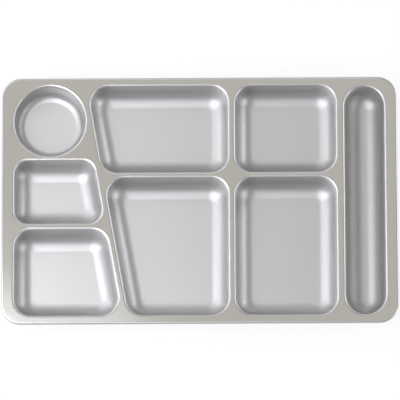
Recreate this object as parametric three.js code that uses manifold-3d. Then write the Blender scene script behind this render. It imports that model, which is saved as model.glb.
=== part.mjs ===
// Compartment tray: one pressed stainless sheet with eight wells and an edge curled under.
// Millimetres, +X along the tray, +Y across it, +Z up; the floors' undersides lie on Z = 0.
import * as THREE from 'three';
import Module from 'manifold-3d';

const wasm = await Module();
wasm.setup();

// Sheet and outline.
const trayLength = 400;
const trayWidth = 255;
const trayCornerRadius = 20;
const sheetThickness = 0.8;
const wellDepth = 26; // deck to well floor, both on the upper face
const curlRadius = 2; // outside of the curled edge
const curlTurn = 225; // degrees that the edge turns through; the curl stays open

// Deck left between the wells and round them.
const endMargin = 13;
const sideMargin = 9;
const rowGap = 5.75; // between the upper and the lower wells of the middle and the right
const leftRowGap = 6.5;
const columnGap = 7;
const cupGap = 5;
const channelGap = 8.5;
const slantGap = 7.2;

// Wells in plan, measured at the sharp edge that deck and wall would meet in.
const cupDiameter = 72;
const smallWellWidth = 65;
const upperRowWidth = 89.5;
const squareWellLength = 102;
const channelWidth = 40.5;
const channelLength = 235.5;
const slantAngle = 10; // degrees between the slanted divider and Y
const slantX = -96.3; // where the slanted divider's middle crosses Y = 0

// Corners and walls of the wells.
const wellCornerRadius = 18;
const smallCornerRadius = 14;
const floorCornerRadius = 5;
const shoulderRadius = 2.6;
const wallDraft = 10; // degrees from upright
const floorFillet = 15.5;
const cupDraft = 7;
const cupFillet = 8.4;
const channelFloor = 3; // flat strip along the bottom of the half-round channel

// Facets of the round stretches.
const shoulderSteps = 2;
const filletSteps = 5;
const curlSteps = 10;
const cornerSteps = 5;
const roundSteps = 9; // per quarter of the cup and the channel's ends
const cutMargin = 1; // how far a cutting body stands above the deck

const floorTop = sheetThickness;
const deckTop = floorTop + wellDepth;
const leftX = -trayLength / 2 + endMargin;
const rightX = trayLength / 2 - endMargin;
const farY = trayWidth / 2 - sideMargin;
const nearY = -farY;
const rad = THREE.MathUtils.degToRad;

// Ring of points on a convex outline moved in by inset, its corners rounded to radius.
function roundedRing(corners, radius, inset, z, steps) {
  const points = [];
  const count = corners.length;
  for (let i = 0; i < count; i++) {
    const corner = corners[i];
    const before = corner.clone().sub(corners[(i + count - 1) % count]).normalize();
    const after = corners[(i + 1) % count].clone().sub(corner).normalize();
    const turn = Math.acos(before.dot(after));
    // Centre of the corner's arc: on the bisector, one radius inside both inset edges.
    const bisector = after.clone().sub(before).normalize();
    const reach = (inset + radius) / Math.cos(turn / 2);
    const centre = corner.clone().addScaledVector(bisector, reach);
    const start = Math.atan2(before.y, before.x) - Math.PI / 2;
    for (let k = 0; k <= steps; k++) {
      const angle = start + (turn * k) / steps;
      points.push(new THREE.Vector3(
        centre.x + radius * Math.cos(angle),
        centre.y + radius * Math.sin(angle),
        z,
      ));
    }
  }
  return points;
}

// Closed body through a row of counter-clockwise rings, from the top ring down, flat at both ends.
function loft(rings) {
  const size = rings[0].length;
  const vertices = rings.flat().flatMap((p) => [p.x, p.y, p.z]);
  const faces = [];
  for (let r = 0; r + 1 < rings.length; r++) {
    for (let k = 0; k < size; k++) {
      const a = r * size + k;
      const b = r * size + ((k + 1) % size);
      faces.push(a, a + size, b, b, a + size, b + size);
    }
  }
  const last = (rings.length - 1) * size;
  for (let k = 1; k + 1 < size; k++) {
    faces.push(0, k, k + 1);
    faces.push(last, last + k + 1, last + k);
  }
  return new wasm.Manifold(new wasm.Mesh({
    numProp: 3,
    vertProperties: new Float32Array(vertices),
    triVerts: new Uint32Array(faces),
  }));
}

// Points of a circular arc as [across, up], between two angles in radians.
function arc(across, up, radius, from, to, steps) {
  return Array.from({ length: steps + 1 }, (_, k) => {
    const angle = from + ((to - from) * k) / steps;
    return [across + radius * Math.cos(angle), up + radius * Math.sin(angle)];
  });
}

// Tangent length of a round of unit radius between level sheet and a wall of this draft.
const tangent = (draft) => Math.tan((Math.PI / 2 - draft) / 2);

// The largest floor fillet that still meets the shoulder within the depth of the wall.
const filletLimit = (draft) => wellDepth / (1 - Math.sin(draft)) - shoulderRadius;

// Wall section as [inset, z] from deck to floor, on the upper face or below it by the sheet.
function wallSection(well, below) {
  const shoulder = arc(
    -shoulderRadius * tangent(well.draft), deckTop - shoulderRadius,
    shoulderRadius - below, Math.PI / 2, well.draft, shoulderSteps,
  );
  const fillet = arc(
    well.floorInset, floorTop + well.fillet,
    well.fillet + below, Math.PI + well.draft, 1.5 * Math.PI, filletSteps,
  );
  return [...shoulder, ...fillet];
}

// Body between the plane at top and a well's upper face, or its underside when below is the sheet.
function wellBody(well, below, top) {
  const section = wallSection(well, below);
  const rings = [[section[0][0], top], ...section].map(([inset, z]) => {
    const share = inset / well.floorInset;
    const radius = THREE.MathUtils.lerp(well.cornerRadius, well.floorRadius, share);
    return roundedRing(well.corners, radius, inset, z, well.steps);
  });
  return loft(rings);
}

function makeWell(points, cornerRadius, details = {}) {
  const draft = rad(details.draft ?? wallDraft);
  const fillet = Math.min(details.fillet ?? floorFillet, filletLimit(draft));
  const floorInset = wellDepth * Math.tan(draft) + fillet * tangent(draft);
  return {
    corners: points.map(([x, y]) => new THREE.Vector2(x, y)),
    cornerRadius,
    floorRadius: details.round ? cornerRadius - floorInset : floorCornerRadius,
    draft,
    fillet,
    floorInset,
    steps: details.round ? roundSteps : cornerSteps,
  };
}

// Four corners between two x edges and two y edges, counter-clockwise from the near left one.
const box = (x0, x1, y0, y1) => [[x0, y0], [x1, y0], [x1, y1], [x0, y1]];

// Edges of the slanted divider: where each of its two sides lies at a given y.
const slantRun = Math.tan(rad(slantAngle));
const slantHalf = slantGap / 2 / Math.cos(rad(slantAngle));
const slantLeft = (y) => slantX - slantHalf - slantRun * y;
const slantRight = (y) => slantX + slantHalf - slantRun * y;

const channelX = rightX - channelWidth;
const squareX = [channelX - channelGap - squareWellLength, channelX - channelGap];
const middleX = squareX[0] - columnGap;
const upperY = farY - upperRowWidth;
const lowerY = upperY - rowGap;
const smallFarY = farY - cupDiameter - cupGap;
const smallNearY = smallFarY - smallWellWidth;
const cornerY = smallNearY - leftRowGap;

// Left column: a well whose right side follows the slanted divider.
const leftWell = (y0, y1, radius) => makeWell(
  [[leftX, y0], [slantLeft(y0), y0], [slantLeft(y1), y1], [leftX, y1]], radius,
);
// Middle column: a well whose left side follows the slanted divider.
const middleWell = (y0, y1) => makeWell(
  [[slantRight(y0), y0], [middleX, y0], [middleX, y1], [slantRight(y1), y1]], wellCornerRadius,
);
const squareWell = (y0, y1) => makeWell(box(...squareX, y0, y1), wellCornerRadius);

const cup = makeWell(
  box(leftX, leftX + cupDiameter, farY - cupDiameter, farY), cupDiameter / 2,
  { draft: cupDraft, fillet: cupFillet, round: true },
);
// The channel's fillets meet in a narrow floor, so that its section is half round.
const channelRun = (channelWidth - channelFloor) / 2 - wellDepth * Math.tan(rad(wallDraft));
const channel = makeWell(
  box(channelX, rightX, nearY, nearY + channelLength), channelWidth / 2,
  { fillet: channelRun / tangent(rad(wallDraft)), round: true },
);

const wells = [
  cup,
  leftWell(smallNearY, smallFarY, smallCornerRadius),
  leftWell(nearY, cornerY, wellCornerRadius),
  middleWell(upperY, farY),
  middleWell(nearY, lowerY),
  squareWell(upperY, farY),
  squareWell(nearY, lowerY),
  channel,
];

// Flat sheet with its edge turned down and under, as one row of rings from deck to underside.
function deckWithCurl() {
  const outline = box(-trayLength / 2, trayLength / 2, -trayWidth / 2, trayWidth / 2);
  const corners = outline.map(([x, y]) => new THREE.Vector2(x, y));
  const curlZ = deckTop - curlRadius;
  const end = Math.PI / 2 - rad(curlTurn);
  const outside = arc(0, curlZ, curlRadius, Math.PI / 2, end, curlSteps);
  const inside = arc(0, curlZ, curlRadius - sheetThickness, end, Math.PI / 2, curlSteps);
  return loft([...outside, ...inside].map(([out, z]) => {
    const inset = curlRadius - out;
    return roundedRing(corners, trayCornerRadius - inset, inset, z, cornerSteps);
  }));
}

let sheet = deckWithCurl();
for (const well of wells) {
  sheet = sheet.add(wellBody(well, sheetThickness, deckTop - sheetThickness / 2));
}
for (const well of wells) {
  sheet = sheet.subtract(wellBody(well, 0, deckTop + cutMargin));
}

const mesh = sheet.getMesh();
const geometry = new THREE.BufferGeometry();
geometry.setAttribute('position', new THREE.BufferAttribute(mesh.vertProperties, mesh.numProp));
geometry.setIndex(new THREE.BufferAttribute(mesh.triVerts, 1));
geometry.computeVertexNormals();

const stainless = new THREE.MeshStandardMaterial({ color: 0xc6c5c1, metalness: 1, roughness: 0.3 });
const pressedTray = new THREE.Mesh(geometry, stainless);
pressedTray.name = 'pressed_tray';

const tray = new THREE.Group();
tray.add(pressedTray);

export default tray;
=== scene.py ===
import math
import bmesh
import bpy
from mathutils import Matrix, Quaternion, Vector


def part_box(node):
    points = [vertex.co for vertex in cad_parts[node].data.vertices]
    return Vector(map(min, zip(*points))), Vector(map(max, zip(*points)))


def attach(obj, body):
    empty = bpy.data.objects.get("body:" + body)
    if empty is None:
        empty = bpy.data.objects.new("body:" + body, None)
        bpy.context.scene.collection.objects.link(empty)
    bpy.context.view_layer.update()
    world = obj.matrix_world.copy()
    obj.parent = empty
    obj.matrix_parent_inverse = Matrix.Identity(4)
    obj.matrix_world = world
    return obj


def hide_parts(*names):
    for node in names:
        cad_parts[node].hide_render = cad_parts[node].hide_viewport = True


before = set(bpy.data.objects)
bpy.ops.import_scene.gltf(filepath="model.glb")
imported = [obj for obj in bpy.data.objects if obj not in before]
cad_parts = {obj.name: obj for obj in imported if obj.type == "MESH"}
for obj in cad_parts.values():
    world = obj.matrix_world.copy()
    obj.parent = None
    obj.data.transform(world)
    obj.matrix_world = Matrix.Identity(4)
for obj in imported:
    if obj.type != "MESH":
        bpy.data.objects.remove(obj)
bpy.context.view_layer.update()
trayNode = "pressed_tray"
mm = 0.001
print("frame loaded:", list(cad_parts))


def linear(hexColour):
    # sRGB hex to the linear colour that Blender's sockets take
    parts = [int(hexColour[i:i + 2], 16) / 255 for i in (1, 3, 5)]
    return [c / 12.92 if c <= 0.04045 else ((c + 0.055) / 1.055) ** 2.4 for c in parts] + [1.0]


def put(tree, kind, inputs=None, **settings):
    # one node with its settings, its values and its links
    node = tree.nodes.new(kind)
    for key, value in settings.items():
        setattr(node, key, value)
    for key, value in (inputs or {}).items():
        if isinstance(value, bpy.types.NodeSocket):
            tree.links.new(value, node.inputs[key])
        else:
            node.inputs[key].default_value = value
    return node


# The stainless sheet

steel = {
    "colour": "#c8c7c5",
    "deckRoughness": 0.1,       # bright rolled face of the deck
    "wellRoughness": 0.43,      # satin face where the press stretched the sheet
    "satinStart": 0.2 * mm,     # how far below the deck the face is fully satin
    "grainWidth": 0.5 * mm,     # rolling lines; real ones are finer, drawn this coarse to show
    "grainLength": 60 * mm,
    "grainShare": 0.06,         # how much the lines change the roughness
    "wave": 26 * mm,            # slow unevenness of the drawn sheet
    "waveHeight": 1 * mm,
    "waveStrength": 0.04,
}


def drawnStainless(deckZ):
    # cold-rolled 18/8 stainless, bright on the deck and satin in the drawn wells:
    # soft mirror-like deck, wells that spread the light, faint rolling lines along the tray
    mat = bpy.data.materials.new("drawn_stainless_steel")
    mat.use_nodes = True
    tree = mat.node_tree
    tree.nodes.clear()
    place = put(tree, "ShaderNodeTexCoord").outputs["Object"]
    height = put(tree, "ShaderNodeSeparateXYZ", {0: place}).outputs["Z"]
    satin = put(tree, "ShaderNodeMapRange", {
        "Value": height, "From Min": deckZ, "From Max": deckZ - steel["satinStart"],
        "To Min": steel["deckRoughness"], "To Max": steel["wellRoughness"],
    }, interpolation_type="SMOOTHSTEP").outputs[0]
    lines = put(tree, "ShaderNodeMapping", {
        "Vector": place,
        "Scale": (1 / steel["grainLength"], 1 / steel["grainWidth"], 1 / steel["grainWidth"]),
    }).outputs[0]
    grain = put(tree, "ShaderNodeTexNoise", {
        "Vector": lines, "Scale": 1.0, "Detail": 3.0,
    }).outputs[0]
    rough = put(tree, "ShaderNodeMath", {
        0: grain, 1: steel["grainShare"], 2: satin,
    }, operation="MULTIPLY_ADD").outputs[0]
    wave = put(tree, "ShaderNodeTexNoise", {
        "Vector": place, "Scale": 1 / steel["wave"], "Detail": 1.0,
    }).outputs[0]
    bump = put(tree, "ShaderNodeBump", {
        "Height": wave, "Strength": steel["waveStrength"], "Distance": steel["waveHeight"],
    }).outputs[0]
    shader = put(tree, "ShaderNodeBsdfPrincipled", {
        "Base Color": linear(steel["colour"]), "Metallic": 1.0,
        "Roughness": rough, "Normal": bump,
    })
    put(tree, "ShaderNodeOutputMaterial", {"Surface": shader.outputs[0]})
    return mat


# Plan of the tray, as on the CAD sheet

sheet = {
    "thickness": 0.8 * mm,
    "cornerRadius": 20 * mm,
    "curlRadius": 2 * mm,
    "curlTurn": 225,            # degrees, open underneath
    "endMargin": 13 * mm,
    "sideMargin": 9 * mm,
    "rowGap": 5.75 * mm,
    "leftRowGap": 6.5 * mm,
    "columnGap": 7 * mm,
    "cupGap": 5 * mm,
    "channelGap": 8.5 * mm,
    "slantGap": 7.2 * mm,
    "cupDiameter": 72 * mm,
    "smallWellWidth": 65 * mm,
    "upperRowWidth": 89.5 * mm,
    "squareWellLength": 102 * mm,
    "channelWidth": 40.5 * mm,
    "channelLength": 235.5 * mm,
    "channelFloor": 3 * mm,
    "slantAngle": 10,           # degrees from Y
    "slantX": -96.3 * mm,
    "wellCorner": 18 * mm,
    "smallCorner": 14 * mm,
    "floorCorner": 5 * mm,
    "shoulder": 2.6 * mm,
    "draft": 10,
    "fillet": 15.5 * mm,
    "cupDraft": 7,
    "cupFillet": 8.4 * mm,
    "support": 0.08 * mm,       # flat band beside each round, keeps deck and floors flat
    "weld": 0.002 * mm,         # points closer than this are one point
    "shoulderSteps": 8,
    "filletSteps": 22,
    "curlSteps": 20,
    "cornerSteps": 16,
    "roundSteps": 32,
}

low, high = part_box(trayNode)
deckZ = high[2]
floorZ = low[2] + sheet["thickness"]
depth = deckZ - floorZ


def arc(across, up, radius, start, end, steps):
    # points of an arc as (across, up), angles in radians
    turns = [start + (end - start) * k / steps for k in range(steps + 1)]
    return [(across + radius * math.cos(a), up + radius * math.sin(a)) for a in turns]


def insetCorners(corners, inset):
    # the four corners moved in by the same distance from both their sides
    moved = []
    for i, corner in enumerate(corners):
        before = (corner - corners[i - 1]).normalized()
        after = (corners[(i + 1) % 4] - corner).normalized()
        bisector = (after - before).normalized()
        moved.append(corner + bisector * inset / math.cos(before.angle(after) / 2))
    return moved


def plate(x0, x1, y0, y1):
    return [(x0, y0), (x1, y0), (x1, y1), (x0, y1)]


def wellShape(plan, mouthRadius, draft, fillet, steps, floorRadius=None):
    # outline at the mouth and at the floor, and the wall section between them
    lean = math.radians(draft)
    tangent = math.tan((math.pi / 2 - lean) / 2)
    reach = depth * math.tan(lean) + fillet * tangent
    radius = sheet["shoulder"]
    run = radius * tangent
    shoulder = arc(-run, deckZ - radius, radius, math.pi / 2, lean, sheet["shoulderSteps"])
    bottom = arc(reach, floorZ + fillet, fillet, math.pi + lean, 1.5 * math.pi, sheet["filletSteps"])
    deckEdge = (-run - sheet["support"], deckZ)
    floorEdge = (reach + sheet["support"], floorZ)
    section = [deckEdge] + shoulder + bottom + [floorEdge]
    mouth = [Vector((x, y, 0)) for x, y in plan]
    return {
        "mouth": mouth,
        "floor": insetCorners(mouth, reach),
        "mouthRadius": mouthRadius,
        "floorRadius": mouthRadius - reach if floorRadius is None else floorRadius,
        "section": [(inset / reach, z) for inset, z in section],
        "steps": steps,
        "closed": True,
    }


def trayWells():
    s = sheet
    leftX = low[0] + s["endMargin"]
    rightX = high[0] - s["endMargin"]
    nearY = low[1] + s["sideMargin"]
    farY = high[1] - s["sideMargin"]
    slantRun = math.tan(math.radians(s["slantAngle"]))
    slantHalf = s["slantGap"] / 2 / math.cos(math.radians(s["slantAngle"]))
    channelX = rightX - s["channelWidth"]
    squareX1 = channelX - s["channelGap"]
    squareX0 = squareX1 - s["squareWellLength"]
    middleX = squareX0 - s["columnGap"]
    upperY = farY - s["upperRowWidth"]
    lowerY = upperY - s["rowGap"]
    smallFarY = farY - s["cupDiameter"] - s["cupGap"]
    smallNearY = smallFarY - s["smallWellWidth"]
    cornerY = smallNearY - s["leftRowGap"]

    def slant(y, side):
        # where a side of the slanted divider lies, -1 = left and 1 = right
        return s["slantX"] + side * slantHalf - slantRun * y

    def foodWell(plan, radius):
        return wellShape(plan, radius, s["draft"], s["fillet"], s["cornerSteps"], s["floorCorner"])

    def leftWell(y0, y1, radius):
        plan = [(leftX, y0), (slant(y0, -1), y0), (slant(y1, -1), y1), (leftX, y1)]
        return foodWell(plan, radius)

    def middleWell(y0, y1):
        plan = [(slant(y0, 1), y0), (middleX, y0), (middleX, y1), (slant(y1, 1), y1)]
        return foodWell(plan, s["wellCorner"])

    # the channel's fillets meet in a narrow floor, so that its section is half round
    lean = math.radians(s["draft"])
    channelReach = (s["channelWidth"] - s["channelFloor"]) / 2 - depth * math.tan(lean)
    channelFillet = channelReach / math.tan((math.pi / 2 - lean) / 2)
    channelPlan = plate(channelX, rightX, nearY, nearY + s["channelLength"])
    channelEnd = s["channelWidth"] / 2
    cupPlan = plate(leftX, leftX + s["cupDiameter"], farY - s["cupDiameter"], farY)
    cupRadius = s["cupDiameter"] / 2
    return {
        "cup": wellShape(cupPlan, cupRadius, s["cupDraft"], s["cupFillet"], s["roundSteps"]),
        "small": leftWell(smallNearY, smallFarY, s["smallCorner"]),
        "corner": leftWell(nearY, cornerY, s["wellCorner"]),
        "upperMiddle": middleWell(upperY, farY),
        "lowerMiddle": middleWell(nearY, lowerY),
        "upperSquare": foodWell(plate(squareX0, squareX1, upperY, farY), s["wellCorner"]),
        "lowerSquare": foodWell(plate(squareX0, squareX1, nearY, lowerY), s["wellCorner"]),
        "channel": wellShape(channelPlan, channelEnd, s["draft"], channelFillet, s["roundSteps"]),
    }


def curledEdge():
    # outer outline, and the curl's section from the deck out, down and under
    outline = [Vector((x, y, 0)) for x, y in plate(low[0], high[0], low[1], high[1])]
    radius = sheet["curlRadius"]
    end = math.pi / 2 - math.radians(sheet["curlTurn"])
    curl = arc(0, deckZ - radius, radius, math.pi / 2, end, sheet["curlSteps"])
    section = [(-sheet["support"], deckZ)] + curl
    return {
        "mouth": outline,
        "floor": insetCorners(outline, radius),
        "mouthRadius": sheet["cornerRadius"],
        "floorRadius": sheet["cornerRadius"] - radius,
        "section": [(1 - out / radius, z) for out, z in section],
        "steps": sheet["cornerSteps"],
        "closed": False,
    }


def loftTree():
    # one drawn stretch of sheet: a section carried round a rounded outline.
    # The section's X is 0 on the mouth outline and 1 on the floor outline, its Z is the height.
    tree = bpy.data.node_groups.new("drawnStretch", "GeometryNodeTree")
    tree.is_modifier = True
    face = tree.interface
    for end in ("Mouth", "Floor"):
        for letter in "ABCD":
            face.new_socket(end + " " + letter, in_out="INPUT", socket_type="NodeSocketVector")
    for label in ("Mouth Radius", "Floor Radius"):
        face.new_socket(label, in_out="INPUT", socket_type="NodeSocketFloat")
    for label in ("Corner Steps", "Section Points"):
        face.new_socket(label, in_out="INPUT", socket_type="NodeSocketInt")
    face.new_socket("Section", in_out="INPUT", socket_type="NodeSocketObject")
    face.new_socket("Finish", in_out="INPUT", socket_type="NodeSocketMaterial")
    face.new_socket("Sheet", in_out="OUTPUT", socket_type="NodeSocketGeometry")
    given = put(tree, "NodeGroupInput").outputs

    # points round the outline: each of the four corners is a small arc
    here = put(tree, "GeometryNodeInputPosition").outputs[0]
    around = put(tree, "ShaderNodeMath", {
        0: given["Corner Steps"], 1: 4.0, 2: 4.0,
    }, operation="MULTIPLY_ADD").outputs[0]
    down = put(tree, "ShaderNodeMath", {
        0: given["Section Points"], 1: 1.0,
    }, operation="SUBTRACT").outputs[0]
    columns = put(tree, "ShaderNodeMath", {0: around, 1: 1.0}, operation="ADD").outputs[0]
    grid = put(tree, "GeometryNodeMeshGrid", {
        "Size X": around, "Size Y": down,
        "Vertices X": columns, "Vertices Y": given["Section Points"],
    }).outputs["Mesh"]

    # which outline point and which section point each grid point takes
    spot = put(tree, "ShaderNodeSeparateXYZ", {0: here}).outputs
    column = put(tree, "ShaderNodeMath", {
        0: around, 1: 0.5, 2: spot["X"],
    }, operation="MULTIPLY_ADD").outputs[0]
    column = put(tree, "ShaderNodeMath", {0: column, 1: 0.5}, operation="ADD").outputs[0]
    column = put(tree, "ShaderNodeMath", {0: column, 1: around}, operation="FLOORED_MODULO").outputs[0]
    column = put(tree, "ShaderNodeMath", {0: column}, operation="FLOOR").outputs[0]
    row = put(tree, "ShaderNodeMath", {
        0: down, 1: 0.5, 2: spot["Y"],
    }, operation="MULTIPLY_ADD").outputs[0]
    row = put(tree, "ShaderNodeMath", {0: row}, operation="ROUND").outputs[0]

    rings = []
    for end in ("Mouth", "Floor"):
        quad = put(tree, "GeometryNodeCurvePrimitiveQuadrilateral", {
            "Point 1": given[end + " A"], "Point 2": given[end + " B"],
            "Point 3": given[end + " C"], "Point 4": given[end + " D"],
        }, mode="POINTS").outputs[0]
        outline = put(tree, "GeometryNodeFilletCurve", {
            "Curve": quad, "Count": given["Corner Steps"], "Radius": given[end + " Radius"],
        }, mode="POLY").outputs[0]
        ring = put(tree, "GeometryNodeSampleIndex", {
            "Geometry": outline, "Value": here, "Index": column,
        }, data_type="FLOAT_VECTOR", domain="POINT")
        rings.append(ring.outputs[0])
    drawn = put(tree, "GeometryNodeObjectInfo", {"Object": given["Section"]}).outputs["Geometry"]
    wall = put(tree, "GeometryNodeSampleIndex", {
        "Geometry": drawn, "Value": here, "Index": row,
    }, data_type="FLOAT_VECTOR", domain="POINT").outputs[0]
    wall = put(tree, "ShaderNodeSeparateXYZ", {0: wall}).outputs

    # from the mouth towards the floor by the section's X, and up by its Z
    inward = put(tree, "ShaderNodeVectorMath", {
        0: rings[1], 1: rings[0],
    }, operation="SUBTRACT").outputs[0]
    level = put(tree, "ShaderNodeCombineXYZ", {"Z": wall["Z"]}).outputs[0]
    base = put(tree, "ShaderNodeVectorMath", {0: rings[0], 1: level}, operation="ADD").outputs[0]
    moved = put(tree, "ShaderNodeVectorMath", {
        0: inward, "Scale": wall["X"],
    }, operation="SCALE").outputs[0]
    place = put(tree, "ShaderNodeVectorMath", {0: base, 1: moved}, operation="ADD").outputs[0]
    shaped = put(tree, "GeometryNodeSetPosition", {"Geometry": grid, "Position": place}).outputs[0]
    welded = put(tree, "GeometryNodeMergeByDistance", {
        "Geometry": shaped, "Distance": sheet["weld"],
    }).outputs[0]
    real = put(tree, "GeometryNodeRealizeInstances", {"Geometry": welded}).outputs[0]
    done = put(tree, "GeometryNodeSetMaterial", {
        "Geometry": real, "Material": given["Finish"],
    }).outputs[0]
    put(tree, "NodeGroupOutput", {0: done})
    return tree


def evaluated(obj):
    # plain mesh of what the object's modifiers make
    graph = bpy.context.evaluated_depsgraph_get()
    return bpy.data.meshes.new_from_object(obj.evaluated_get(graph))


def drawStretch(name, shape, tree, finish):
    curve = bpy.data.curves.new(name + "Section", "CURVE")
    curve.dimensions = "3D"
    line = curve.splines.new("POLY")
    line.points.add(len(shape["section"]) - 1)
    for point, (share, z) in zip(line.points, shape["section"]):
        point.co = (share, 0, z, 1)
    section = bpy.data.objects.new(name + "Section", curve)
    carrier = bpy.data.objects.new(name, bpy.data.meshes.new(name))
    for obj in (section, carrier):
        bpy.context.collection.objects.link(obj)
    values = {
        "Mouth Radius": shape["mouthRadius"], "Floor Radius": shape["floorRadius"],
        "Corner Steps": shape["steps"], "Section Points": len(shape["section"]),
        "Section": section, "Finish": finish,
    }
    for letter, mouth, floor in zip("ABCD", shape["mouth"], shape["floor"]):
        values["Mouth " + letter] = mouth
        values["Floor " + letter] = floor
    modifier = carrier.modifiers.new("drawn", "NODES")
    modifier.node_group = tree
    for item in tree.interface.items_tree:
        if item.in_out == "INPUT":
            modifier[item.identifier] = values[item.name]
    mesh = evaluated(carrier)
    for obj in (carrier, section):
        bpy.data.objects.remove(obj)
    return mesh


def openRim(body, z):
    # open edges that lie level at this height
    level = [e for e in body.edges if all(abs(v.co.z - z) < sheet["weld"] for v in e.verts)]
    return [e for e in level if e.is_boundary]


def pressTray(finish):
    # every drawn stretch in one mesh, with the flat deck filled in between
    tree = loftTree()
    body = bmesh.new()
    for name, shape in {**trayWells(), "curledEdge": curledEdge()}.items():
        body.from_mesh(drawStretch(name, shape, tree, finish))
        body.verts.ensure_lookup_table()
        if shape["closed"]:
            bmesh.ops.contextual_create(body, geom=openRim(body, floorZ))
        print("drawn:", name, len(body.faces), "faces so far")
    bmesh.ops.triangle_fill(body, edges=openRim(body, deckZ), use_beauty=True, normal=(0, 0, 1))
    bmesh.ops.remove_doubles(body, verts=body.verts, dist=sheet["weld"])
    bmesh.ops.recalc_face_normals(body, faces=body.faces)
    upward = max(body.faces, key=lambda f: f.calc_area()).normal.z > 0
    if not upward:
        bmesh.ops.reverse_faces(body, faces=body.faces)
    for f in body.faces:
        f.smooth = True
        f.material_index = 0
    mesh = bpy.data.meshes.new("pressedTray")
    body.to_mesh(mesh)
    body.free()
    mesh.materials.clear()
    mesh.materials.append(finish)
    tray = bpy.data.objects.new("pressedTray", mesh)
    bpy.context.collection.objects.link(tray)
    thick = tray.modifiers.new("sheet", "SOLIDIFY")
    thick.thickness = sheet["thickness"]
    thick.offset = -1
    thick.use_even_offset = True
    solid = evaluated(tray)
    tray.modifiers.clear()
    tray.data = solid
    return tray


finish = drawnStainless(deckZ)
tray = pressTray(finish)
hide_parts(trayNode)
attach(tray, "root")
print("tray pressed:", len(tray.data.polygons), "faces")

# Floor and light

# Start and Full say where a part of the tent begins and where it is complete, as a component
# of the unit direction towards it: Z for roof and skirt, Y for the opening on the near side.
studio = {
    "floorColour": "#ffffff",
    "floorSize": 12.0,
    "floorShade": 0.15,         # share of the paper that still shows the tray's shadow
    "wallColour": "#fbfcff",
    "roofColour": "#fffbeb",
    "tentWalls": 0.28,          # brightness of the tent round the tray
    "tentRoof": 0.48,           # added over the tray
    "roofStart": 0.88,
    "roofFull": 0.94,
    "tentSkirt": 1.5,           # added low down, draws the pale line along the shoulders
    "skirtStart": 0.35,
    "skirtFull": 0.15,
    "openStart": -0.35,         # the skirt fades out towards the near side
    "openFull": -0.75,
}


def paleFloor():
    # white sweep: white to the camera and in reflections, with some matt paper for the shadow
    half = studio["floorSize"] / 2
    corners = [(x, y, 0) for x, y in plate(-half, half, -half, half)]
    mesh = bpy.data.meshes.new("studioFloor")
    mesh.from_pydata(corners, [], [(0, 1, 2, 3)])
    floor = bpy.data.objects.new("studioFloor", mesh)
    bpy.context.collection.objects.link(floor)
    mat = bpy.data.materials.new("white_paper_sweep")
    mat.use_nodes = True
    tree = mat.node_tree
    tree.nodes.clear()
    path = put(tree, "ShaderNodeLightPath").outputs
    seen = put(tree, "ShaderNodeMath", {
        0: path["Is Camera Ray"], 1: path["Is Glossy Ray"],
    }, operation="MAXIMUM").outputs[0]
    seen = put(tree, "ShaderNodeMath", {
        0: seen, 1: path["Is Transmission Ray"],
    }, operation="MAXIMUM").outputs[0]
    share = put(tree, "ShaderNodeMath", {
        0: seen, 1: 1 - studio["floorShade"],
    }, operation="MULTIPLY").outputs[0]
    colour = linear(studio["floorColour"])
    paper = put(tree, "ShaderNodeBsdfDiffuse", {"Color": colour}).outputs[0]
    white = put(tree, "ShaderNodeEmission", {"Color": colour, "Strength": 1.0}).outputs[0]
    both = put(tree, "ShaderNodeMixShader", {0: share, 1: paper, 2: white}).outputs[0]
    put(tree, "ShaderNodeOutputMaterial", {"Surface": both})
    mesh.materials.append(mat)


def studioWorld():
    # light tent: dim cool walls, a bright skirt that is open on the near side, a warm roof
    world = bpy.data.worlds.new("lightTent")
    bpy.context.scene.world = world
    world.use_nodes = True
    tree = world.node_tree
    tree.nodes.clear()
    way = put(tree, "ShaderNodeTexCoord").outputs["Generated"]
    way = put(tree, "ShaderNodeSeparateXYZ", {0: way}).outputs
    skirt = put(tree, "ShaderNodeMapRange", {
        "Value": way["Z"], "To Max": studio["tentSkirt"],
        "From Min": studio["skirtStart"], "From Max": studio["skirtFull"],
    }, interpolation_type="SMOOTHSTEP").outputs[0]
    closed = put(tree, "ShaderNodeMapRange", {
        "Value": way["Y"],
        "From Min": studio["openFull"], "From Max": studio["openStart"],
    }, interpolation_type="SMOOTHSTEP").outputs[0]
    around = put(tree, "ShaderNodeMath", {
        0: skirt, 1: closed, 2: studio["tentWalls"],
    }, operation="MULTIPLY_ADD").outputs[0]
    above = put(tree, "ShaderNodeMapRange", {
        "Value": way["Z"], "To Max": studio["tentRoof"],
        "From Min": studio["roofStart"], "From Max": studio["roofFull"],
    }, interpolation_type="SMOOTHSTEP").outputs[0]
    walls = put(tree, "ShaderNodeBackground", {
        "Color": linear(studio["wallColour"]), "Strength": around,
    }).outputs[0]
    roof = put(tree, "ShaderNodeBackground", {
        "Color": linear(studio["roofColour"]), "Strength": above,
    }).outputs[0]
    both = put(tree, "ShaderNodeAddShader", {0: walls, 1: roof}).outputs[0]
    put(tree, "ShaderNodeOutputWorld", {"Surface": both})


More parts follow.
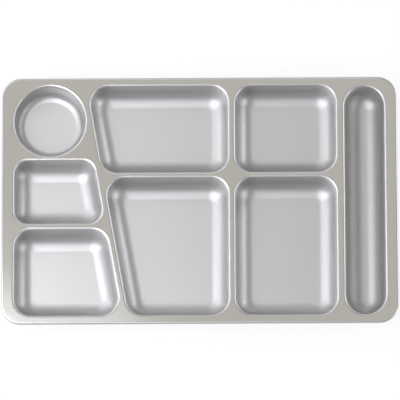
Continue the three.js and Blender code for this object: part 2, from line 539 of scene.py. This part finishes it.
# glow is the brightness of the lamp's face, 1 = white.
# The side panels leave a gap between them, so that the deck doesn't turn white from the ends.
lamps = {
    "overheadSoftbox": {
        "at": (-0.4, -0.04, 1.2), "aim": (-0.4, -0.04, 0),
        "size": (0.3, 0.24), "glow": 8.2, "colour": "#f1f4ff",
    },
    "overheadFill": {
        "at": (-0.345, -0.215, 1.2), "aim": (-0.345, -0.215, 0),
        "size": (0.51, 0.77), "glow": 0.6, "colour": "#f5f7ff",
    },
    "leftSoftbox": {
        "at": (-0.67, -0.27, 0.7), "aim": (-0.67, -0.27, 0),
        "size": (0.66, 0.7), "glow": 2.7, "colour": "#f1f4ff",
    },
    "frontSoftbox": {
        "at": (-0.85, -1.0, 1.2), "aim": (-0.85, -1.0, 0),
        "size": (1.9, 1.2), "glow": 1.65, "colour": "#f1f4ff",
    },
    "backSoftbox": {
        "at": (-0.3, 0.93, 1.2), "aim": (-0.3, 0.93, 0),
        "size": (1.2, 0.8), "glow": 0.85, "colour": "#f5f7ff",
    },
    "backLeftSoftbox": {
        "at": (-1.3, 1.3, 1.6), "aim": (0, 0, 0),
        "size": (1.3, 1.0), "glow": 1.4, "colour": "#f5f7ff",
    },
    "rightPanelNear": {
        "at": (1.5, -0.58, 0.5), "aim": (0, 0, 0.5),
        "size": (0.62, 1.0), "glow": 3.2, "colour": "#f5f7ff",
    },
    "rightPanelFar": {
        "at": (1.5, 0.58, 0.5), "aim": (0, 0, 0.5),
        "size": (0.62, 1.0), "glow": 3.2, "colour": "#f5f7ff",
    },
    "leftPanelNear": {
        "at": (-1.5, -0.58, 0.61), "aim": (0, 0, 0.61),
        "size": (0.62, 0.8), "glow": 3.0, "colour": "#f5f7ff",
    },
    "leftPanelFar": {
        "at": (-1.5, 0.58, 0.61), "aim": (0, 0, 0.61),
        "size": (0.62, 0.8), "glow": 3.0, "colour": "#f5f7ff",
    },
}


def softbox(name, lamp):
    light = bpy.data.lights.new(name, "AREA")
    light.shape = "RECTANGLE"
    light.size, light.size_y = lamp["size"]
    light.energy = lamp["glow"] * math.pi * light.size * light.size_y
    light.color = linear(lamp["colour"])[:3]
    obj = bpy.data.objects.new(name, light)
    obj.location = lamp["at"]
    obj.rotation_mode = "QUATERNION"
    obj.rotation_quaternion = (Vector(lamp["aim"]) - Vector(lamp["at"])).to_track_quat("-Z", "Y")
    bpy.context.collection.objects.link(obj)


paleFloor()
studioWorld()
for name, lamp in lamps.items():
    softbox(name, lamp)
print("light and floor placed")

# Camera: a long lens, high over the near side of the tray

shot = {
    "azimuth": 2.0, "elevation": 76.62, "roll": -2.25,   # degrees
    "distance": 6.0,
    "clipEnd": 50.0,
    "span": 0.4031,             # width of the frame at the deck
    "aim": (0.0005, -0.0002),
}


def longLens():
    data = bpy.data.cameras.new("longLens")
    data.lens = data.sensor_width * shot["distance"] / shot["span"]
    data.clip_end = shot["clipEnd"]
    data.dof.use_dof = False
    cam = bpy.data.objects.new("longLens", data)
    side = math.radians(shot["azimuth"])
    rise = math.radians(shot["elevation"])
    flat = math.cos(rise)
    back = Vector((math.sin(side) * flat, -math.cos(side) * flat, math.sin(rise)))
    cam.location = Vector((*shot["aim"], deckZ)) + back * shot["distance"]
    cam.rotation_mode = "QUATERNION"
    turn = Quaternion((0, 0, 1), math.radians(shot["roll"]))
    cam.rotation_quaternion = (-back).to_track_quat("-Z", "Y") @ turn
    bpy.context.collection.objects.link(cam)
    bpy.context.scene.camera = cam


longLens()
bpy.context.scene.view_settings.view_transform = "Standard"
print("camera placed")
